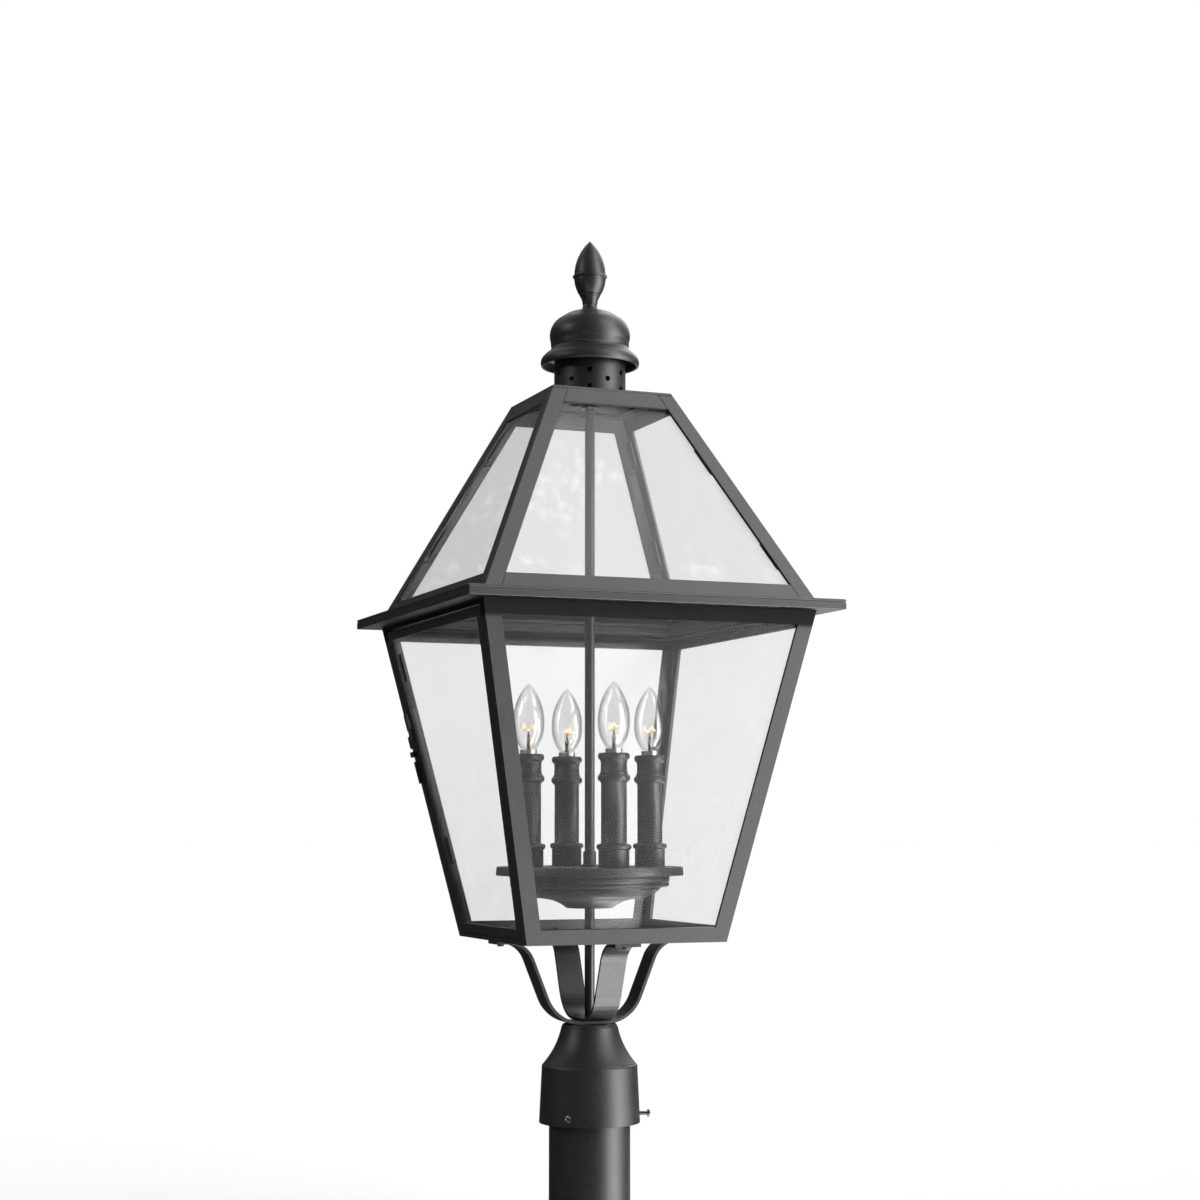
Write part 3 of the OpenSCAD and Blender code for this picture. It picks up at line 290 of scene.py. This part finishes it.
def insulation(name):
    """Pale wire cover with faint soiling."""
    made, tree = new_material(name)
    place = add(tree, "TexCoord").outputs["Object"]
    soil = noise(tree, place, 8 * MM, detail=4.0, roughness=0.6)
    fine = noise(tree, place, 0.6 * MM, detail=2.0, roughness=0.5)
    base = blend_colour(tree, soil, (0.62, 0.6, 0.53, 1.0), (0.78, 0.76, 0.68, 1.0))
    bump = add(tree, "Bump", {"Height": fine, "Distance": 0.05 * MM, "Strength": 0.3})
    shader = add(tree, "BsdfPrincipled", {
        "Base Color": base, "Roughness": spread(tree, fine, 0.3, 0.7, 0.42, 0.6),
        "Normal": bump.outputs["Normal"]})
    finish_material(tree, shader.outputs[0])
    return made


# How far the painted shade of the eave reaches down from it
EAVE_SHADE_DEPTH = 15 * MM
EAVE_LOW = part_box("eave_frame")[0].z

# The look of each of the record's material slots
LOOKS = {
    "black_iron": coated_metal("iron_powder_coat", tone=0.015, grain=1.5 * MM,
                               relief=0.03 * MM, rough=0.38),
    "black_cast": coated_metal("cast_powder_coat", tone=0.013, grain=1.3 * MM,
                               relief=0.02 * MM, rough=0.44, mottle=24 * MM),
    "clear_glass": window_glass("window_glass", clear=0.985, mirror_share=0.028, haze=0.026),
    "bulb_glass": blown_glass("bulb_glass", outline=0.72),
    "dark_steel": bare_metal("dark_steel", colour=(0.2, 0.2, 0.21), rough=0.38),
    "socket_shell": bare_metal("socket_shell", colour=(0.66, 0.65, 0.62), rough=0.34),
    "wire_cover": insulation("wire_cover"),
}

# Looks of single nodes and pieces, which differ from their slot's
# The filament and lead wires glow faintly: painted warm glints
FILAMENT = painted_glint_wire("filament", dim=0.8, bright=2.4)
LEAD_WIRE = painted_glint_wire("lead_wire", dim=0.05, bright=0.5)
MOUNT_GLASS = blown_glass("mount_glass", outline=0.93)
ROOF_GLASS = window_glass("roof_glass", clear=0.92, mirror_share=0.02, haze=0.014)
# Iron of the top rails, stiles and door surround, with painted shade under the eave
EAVE_SHADED_IRON = eave_shaded_metal("eave_shaded_iron", tone=0.015, grain=1.5 * MM, relief=0.03 * MM, rough=0.38,
                           height=EAVE_LOW - EAVE_SHADE_DEPTH)
BARE_STEEL = bare_metal("bare_steel", colour=(0.5, 0.5, 0.5), rough=0.3)
OWN_LOOKS = {
    "top_rails": EAVE_SHADED_IRON, "corner_stiles": EAVE_SHADED_IRON, "door_surround": EAVE_SHADED_IRON,
    "set_screw_front": BARE_STEEL, "set_screw_rear": BARE_STEEL, "retaining_screw": BARE_STEEL,
    "roof_glass_front": ROOF_GLASS, "roof_glass_right": ROOF_GLASS,
    "roof_glass_back": ROOF_GLASS, "roof_glass_left": ROOF_GLASS,
}


# ---- CAD nodes ----

SHARP = math.radians(32)  # edges that bend by more than this are rounded
WELD_GAP = 0.002 * MM
FLAT_LIMIT = math.radians(0.6)  # faces that bend by less than this are one flat face
# How wide each node's rounded edges are, in millimetres
EDGE_WIDTHS = {
    "corner_stiles": 0.9, "bottom_rails": 0.9, "top_rails": 0.6, "door_surround": 0.4,
    "door_stiles": 0.5, "door_rails": 0.5, "eave_frame": 0.8, "eave_cover": 0.8,
    "roof_hips": 0.9, "roof_base_rails": 0.6, "roof_top_rails": 0.6, "roof_plate": 0.6,
    "strap_x": 0.7, "strap_y": 0.7, "body_glass_clips": 0.2, "roof_glass_clips": 0.2,
    "door_glass_clips": 0.2, "latch_guide": 0.25, "latch_bolt": 0.25, "latch_keeper": 0.25,
    "stem_nuts": 0.4, "strap_fasteners": 0.35, "retaining_screw": 0.2,
    "set_screw_front": 0.4, "set_screw_rear": 0.4,
}


def soften(piece, width):
    """Rounds a CAD node's sharp edges, so that they catch the light."""
    weld = piece.modifiers.new("weld", "WELD")
    weld.merge_threshold = WELD_GAP
    flat = piece.modifiers.new("flat", "DECIMATE")
    flat.decimate_type = "DISSOLVE"
    flat.angle_limit = FLAT_LIMIT
    edge = piece.modifiers.new("edge", "BEVEL")
    edge.width = width * MM
    edge.segments = 2
    edge.limit_method = "ANGLE"
    edge.angle_limit = SHARP
    edge.harden_normals = True
    edge.use_clamp_overlap = True


def dress_cad_nodes():
    """Gives each CAD node its look and rounded edges."""
    slots = {part["node"]: part["material_slot"] for part in frame["record"]["subparts"]}
    for name, piece in nodes.items():
        piece.data.materials.clear()
        piece.data.materials.append(OWN_LOOKS.get(name, LOOKS[slots[name]]))
        for face in piece.data.polygons:
            face.material_index = 0
        if name in EDGE_WIDTHS:
            soften(piece, EDGE_WIDTHS[name])
        if slots[name] == "bulb_glass":
            piece.visible_shadow = False


# ---- Mesh building ----

class Shape:
    """Vertices and faces of one mesh, gathered skin by skin."""

    def __init__(self):
        self.points = []
        self.faces = []

    def add_rings(self, rings, hollow=False):
        """Joins rings of equal length into a skin; a hollow one joins its last ring to its first."""
        start = len(self.points)
        count = len(rings[0])
        for ring in rings:
            self.points.extend(ring)
        for level in range(len(rings) if hollow else len(rings) - 1):
            low = start + level * count
            high = start + (level + 1) % len(rings) * count
            for i in range(count):
                j = (i + 1) % count
                self.faces.append((low + i, low + j, high + j, high + i))
        if not hollow:
            self.faces.append(tuple(reversed(range(start, start + count))))
            last = start + (len(rings) - 1) * count
            self.faces.append(tuple(range(last, last + count)))

    def lathe(self, outline, centre, sides, hollow=False):
        """Turns an outline of (radius, height) about an upright axis."""
        rings = []
        for radius, height in outline:
            rings.append([Vector((centre[0] + radius * math.cos(2 * math.pi * i / sides),
                                  centre[1] + radius * math.sin(2 * math.pi * i / sides),
                                  height)) for i in range(sides)])
        self.add_rings(rings, hollow)

    def tube(self, path, radius, sides):
        """A round wire along a path."""
        rings = []
        side = None
        for i, point in enumerate(path):
            along = (path[min(i + 1, len(path) - 1)] - path[max(i - 1, 0)]).normalized()
            if side is None:
                side = along.orthogonal().normalized()
            side = (side - along * side.dot(along)).normalized()
            up = along.cross(side)
            rings.append([point + radius * (math.cos(2 * math.pi * k / sides) * side
                                            + math.sin(2 * math.pi * k / sides) * up)
                          for k in range(sides)])
        self.add_rings(rings)

    def piece(self, name, look, body, slot):
        """The finished mesh as a piece that rides on a body."""
        mesh = bpy.data.meshes.new(name)
        mesh.from_pydata([tuple(p) for p in self.points], [], self.faces)
        bm = bmesh.new()
        bm.from_mesh(mesh)
        bmesh.ops.recalc_face_normals(bm, faces=bm.faces)
        for face in bm.faces:
            face.smooth = True
        bm.to_mesh(mesh)
        bm.free()
        mesh.materials.append(look)
        made = bpy.data.objects.new(name, mesh)
        bpy.context.scene.collection.objects.link(made)
        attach(made, body)
        return made


# ---- Bulbs ----

# Filament and its wires, in millimetres and radians
LEAD_RADIUS = 0.28
COIL_RADIUS = 0.6
FILAMENT_RADIUS = 0.2
COIL_SAG = 1.2
COIL_TURNS = 11  # between two supports
COIL_STEPS = 8  # in a turn
BULB_TURN = 1.9  # each bulb stands turned from the last by this angle


def bulb_insides(number):
    """Glass mount, lead wires, supports and a coiled filament of one bulb."""
    low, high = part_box(f"bulb_glass_{number}")
    x = (low.x + high.x) / 2
    y = (low.y + high.y) / 2
    foot = low.z + 1 * MM
    body = f"bulb_{number}"

    def at(out, turn, up):
        return Vector((x + out * MM * math.cos(turn), y + out * MM * math.sin(turn), foot + up * MM))

    flare = [(3.9, 0), (3.7, 2), (2.4, 5), (1.7, 8)]
    stem_and_pinch = [(1.5, 14), (2.1, 17), (1.5, 19)]
    button = [(0.7, 22), (0.9, 24), (0.3, 25)]
    mount = Shape()
    mount.lathe([(radius * MM, foot + up * MM) for radius, up in flare + stem_and_pinch + button],
                (x, y), sides=24)
    glass = mount.piece(f"bulb_mount_{number}", MOUNT_GLASS, body, "bulb_glass")
    glass.visible_shadow = False

    # Where the wires hold the filament: out from the axis, angle about it, up from the foot.
    # The first and last are the leads, which rise from the pinch, and the rest are supports,
    # which rise from the button.
    wires = Shape()
    turn = number * BULB_TURN
    anchors = [(5.6, turn, 27.0), (4.6, turn + 0.9, 31.0), (4.4, turn + 1.9, 25.5),
               (4.8, turn + 2.9, 31.5), (5.6, turn + 3.8, 27.0)]
    for index, (out, angle, up) in enumerate(anchors):
        is_lead = index in (0, len(anchors) - 1)
        root = 16.0 if is_lead else 23.5
        path = [at(0.9, angle, root), at(0.45 * out, angle, root + 0.3 * (up - root)),
                at(0.85 * out, angle, root + 0.75 * (up - root)), at(out, angle, up)]
        wires.tube(path, LEAD_RADIUS * MM, sides=6)
    wires.piece(f"bulb_leads_{number}", LEAD_WIRE, body, "dark_steel")

    coil = Shape()
    ends = [at(*anchor) for anchor in anchors]
    path = []
    for first, second in zip(ends, ends[1:]):
        along = second - first
        sag = Vector((0.0, 0.0, -COIL_SAG * MM))
        side = along.orthogonal().normalized()
        up = along.normalized().cross(side)
        steps = COIL_TURNS * COIL_STEPS
        for i in range(steps):
            t = i / steps
            angle = 2 * math.pi * i / COIL_STEPS
            path.append(first + along * t + sag * math.sin(math.pi * t)
                        + COIL_RADIUS * MM * (math.cos(angle) * side + math.sin(angle) * up))
    coil.tube(path, FILAMENT_RADIUS * MM, sides=5)
    coil.piece(f"bulb_filament_{number}", FILAMENT, body, "dark_steel")


# Screw shell of a bulb, in millimetres
THREAD_PITCH = 2.54
THREAD_DEPTH = 0.5
THREAD_FOOT = 4.6  # plain length under the thread
THREAD_NECK = 3.4  # plain length over it


def screw_skin(radius_at, low, high, pitch, sides=40, steps_each=10):
    """Rings of a threaded surface: radius_at(phase, z) gives its radius, phase runs over a pitch."""
    rings = []
    steps = max(2, round((high - low) / pitch * steps_each))
    for level in range(steps + 1):
        z = low + (high - low) * level / steps
        ring = []
        for i in range(sides):
            share = i / sides
            radius = radius_at((z / pitch - share) % 1.0, z)
            ring.append(Vector((radius * math.cos(2 * math.pi * share),
                                radius * math.sin(2 * math.pi * share), z)))
        rings.append(ring)
    return rings


def threaded_base(number):
    """Rolled screw shell of a bulb with its contact button, in place of the plain base."""
    low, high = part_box(f"bulb_base_{number}")
    centre = Vector(((low.x + high.x) / 2, (low.y + high.y) / 2, 0.0))
    crest = (high.x - low.x) / 2
    pitch = THREAD_PITCH * MM
    depth = THREAD_DEPTH * MM
    thread_low = low.z + THREAD_FOOT * MM
    thread_high = high.z - THREAD_NECK * MM

    def radius_at(phase, z):
        fade = min(1.0, (z - thread_low) / pitch, (thread_high - z) / pitch)
        wave = 0.5 + 0.5 * math.cos(2 * math.pi * phase)
        return crest - depth + depth * (max(0.0, fade) * wave)

    shell = Shape()
    thread = screw_skin(radius_at, thread_low, thread_high, pitch)
    sides = len(thread[0])

    def ring(radius, z):
        turns = [2 * math.pi * i / sides for i in range(sides)]
        return [Vector((radius * math.cos(turn), radius * math.sin(turn), z)) for turn in turns]

    button = [ring(0.6 * MM, low.z), ring(2.1 * MM, low.z + 0.3 * MM),
              ring(2.5 * MM, low.z + 1.2 * MM), ring(3.1 * MM, low.z + 1.7 * MM)]
    shoulder = [ring(crest - 1.6 * MM, low.z + 2.6 * MM), ring(crest - 0.7 * MM, low.z + 3.6 * MM)]
    collar = [ring(crest - depth, high.z - 3.2 * MM), ring(crest - 0.05 * MM, high.z - 2.7 * MM),
              ring(crest - 0.05 * MM, high.z - 0.3 * MM), ring(crest - 0.3 * MM, high.z),
              ring(crest - 0.9 * MM, high.z)]
    inner = [ring(crest - 1.0 * MM, high.z - 0.6 * MM), ring(crest - 1.0 * MM, low.z + 5 * MM)]
    shell.add_rings(button + shoulder + thread + collar + inner)
    shell.points = [p + centre for p in shell.points]
    made = shell.piece(f"bulb_shell_{number}", LOOKS["socket_shell"], f"bulb_{number}", "socket_shell")
    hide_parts(f"bulb_base_{number}")


# ---- Candle sleeves ----

# In millimetres
CAD_BEAD = 3.5  # how far the lower bead of a CAD sleeve stands out from its barrel
SLEEVE_WALL = 1.4
MOUTH_RADIUS = 8.2  # a fit around the socket
FOOT_BAND = 2.4  # how far the band at the foot stands out
LOW_BEAD = (16.7, 21.7)  # heights of its edges over the plate
LOW_BEAD_OUT = 1.7  # from the foot band
HIGH_BEAD = (26.6, 19.8)  # depths of its edges under the lip
HIGH_BEAD_OUT = 2.3
LIP_DEPTH = 6.2
LIP_OUT = 1.4


def bulge(radius, low, high, out, steps=10):
    """Points of a rounded bead between two heights, which stands out from a radius."""
    points = []
    for i in range(steps + 1):
        angle = math.pi * i / steps
        height = (low + high) / 2 - (high - low) / 2 * math.cos(angle)
        points.append((radius + out * math.sin(angle), height))
    return points


def turned_sleeve(number):
    """Candle sleeve with two fat rounded beads and a rolled lip, in place of the plain one."""
    low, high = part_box(f"candle_sleeve_{number}")
    centre = ((low.x + high.x) / 2, (low.y + high.y) / 2)
    barrel = (high.x - low.x) / 2 / MM - CAD_BEAD
    length = (high.z - low.z) / MM
    bore = barrel - SLEEVE_WALL
    foot = barrel + FOOT_BAND
    low_bead_from, low_bead_to = LOW_BEAD
    high_bead_from = length - HIGH_BEAD[0]
    high_bead_to = length - HIGH_BEAD[1]
    outline = [(bore, 0.0), (foot - 0.2, 0.0), (foot, 0.4), (foot, low_bead_from - 0.3)]
    outline += bulge(foot + 0.2, low_bead_from, low_bead_to, LOW_BEAD_OUT)
    outline += [(barrel + 0.4, low_bead_to + 0.4), (barrel, low_bead_to + 1.2),
                (barrel, high_bead_from - 1.2), (barrel + 0.9, high_bead_from - 0.6)]
    outline += bulge(barrel + 0.9, high_bead_from, high_bead_to, HIGH_BEAD_OUT)
    outline += [(barrel + 1.2, high_bead_to + 0.4), (barrel + 1.2, high_bead_to + 1.4),
                (barrel + 0.4, high_bead_to + 2.0), (barrel + 0.2, length - 10.5),
                (barrel + 0.4, length - 8.0), (barrel + 1.0, length - 6.6)]
    outline += bulge(barrel + 1.4, length - LIP_DEPTH, length - 0.2, LIP_OUT)
    outline += [(barrel + 0.6, length), (MOUTH_RADIUS, length), (MOUTH_RADIUS, length - 2.0),
                (bore, length - 3.0)]
    shape = Shape()
    shape.lathe([(radius * MM, low.z + up * MM) for radius, up in outline],
                centre, sides=56, hollow=True)
    made = shape.piece(f"candle_turning_{number}", LOOKS["black_cast"], "lantern", "black_cast")
    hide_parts(f"candle_sleeve_{number}")


dress_cad_nodes()
for bulb in range(1, 5):
    bulb_insides(bulb)
    threaded_base(bulb)
    turned_sleeve(bulb)


# ---- Stage, light and camera ----

def toward(turn, height):
    """Unit direction from the lantern, turned right of the camera and raised, in degrees."""
    turn = math.radians(turn)
    height = math.radians(height)
    back = Vector((-math.sin(CAMERA_TURN), -math.cos(CAMERA_TURN), 0.0))
    right = Vector((math.cos(CAMERA_TURN), -math.sin(CAMERA_TURN), 0.0))
    flat = math.cos(turn) * back + math.sin(turn) * right
    return math.cos(height) * flat + Vector((0.0, 0.0, math.sin(height)))


def studio_light():
    """White to look at, while surfaces see soft panels of light in a dim room."""
    world = bpy.data.worlds.new("studio")
    bpy.context.scene.world = world
    world.use_nodes = True
    tree = world.node_tree
    tree.nodes.clear()
    direction = add(tree, "TexCoord").outputs["Generated"]
    total = None
    for turn, height, bright, half in SOFTBOXES.values():
        facing = add(tree, "VectorMath", {0: direction, 1: toward(turn, height)},
                     operation="DOT_PRODUCT").outputs["Value"]
        edge = math.cos(math.radians(PANEL_FADE * half))
        core = math.cos(math.radians(PANEL_CORE * half))
        lobe = add(tree, "MapRange", {
            "Value": facing, "From Min": edge, "From Max": core, "To Min": 0.0, "To Max": bright},
            interpolation_type="SMOOTHSTEP").outputs["Result"]
        if total is None:
            total = add(tree, "Math", {0: lobe, 1: AMBIENT}, operation="ADD").outputs[0]
        else:
            total = add(tree, "Math", {0: total, 1: lobe}, operation="ADD").outputs[0]
    room = add(tree, "Background", {"Color": grey(1.0), "Strength": total})
    white = add(tree, "Background", {"Color": grey(1.0), "Strength": 1.0})
    path = add(tree, "LightPath")
    seen = add(tree, "Math", {0: path.outputs["Is Camera Ray"],
                              1: path.outputs["Is Transmission Ray"]}, operation="MAXIMUM")
    both = add(tree, "MixShader", {0: seen.outputs[0], 1: room.outputs[0], 2: white.outputs[0]})
    tree.links.new(both.outputs[0], add(tree, "OutputWorld").inputs["Surface"])


def pale_floor():
    """A wide plain floor, near white, that runs out to the white of the room."""
    half = FLOOR_HALF_WIDTH
    mesh = bpy.data.meshes.new("floor")
    corners = [(-half, -half, 0.0), (half, -half, 0.0), (half, half, 0.0), (-half, half, 0.0)]
    mesh.from_pydata(corners, [], [(0, 1, 2, 3)])
    made, tree = new_material("floor_paper")
    place = add(tree, "TexCoord").outputs["Object"]
    cloud = noise(tree, place, 0.4, detail=2.0, roughness=0.5)
    tone = blend_colour(tree, cloud, grey(FLOOR_TONES[0]), grey(FLOOR_TONES[1]))
    shader = add(tree, "BsdfPrincipled", {
        "Base Color": tone, "Roughness": 0.9, "Specular IOR Level": 0.0,
        "Emission Color": grey(1.0), "Emission Strength": FLOOR_GLOW})
    finish_material(tree, shader.outputs[0])
    mesh.materials.append(made)
    floor = bpy.data.objects.new("floor", mesh)
    bpy.context.scene.collection.objects.link(floor)
    floor.visible_diffuse = False
    floor.visible_glossy = False


def photo_camera():
    """The camera, at the height and angle of the photograph's."""
    lens = bpy.data.cameras.new("camera")
    lens.sensor_width = CAMERA_SENSOR
    lens.lens = CAMERA_LENS
    lens.clip_start = 0.05
    lens.clip_end = 200.0
    camera = bpy.data.objects.new("camera", lens)
    bpy.context.scene.collection.objects.link(camera)
    along = Vector((math.sin(CAMERA_TURN), math.cos(CAMERA_TURN), 0.0))
    right = Vector((math.cos(CAMERA_TURN), -math.sin(CAMERA_TURN), 0.0))
    level = CAMERA_SIDE * right - CAMERA_DISTANCE * along
    camera.location = level + Vector((0.0, 0.0, CAMERA_HEIGHT))
    look = math.cos(CAMERA_PITCH) * along + Vector((0.0, 0.0, math.sin(CAMERA_PITCH)))
    camera.rotation_euler = look.to_track_quat("-Z", "Y").to_euler()
    bpy.context.scene.camera = camera


studio_light()
pale_floor()
photo_camera()
bpy.context.scene.view_settings.view_transform = "Standard"
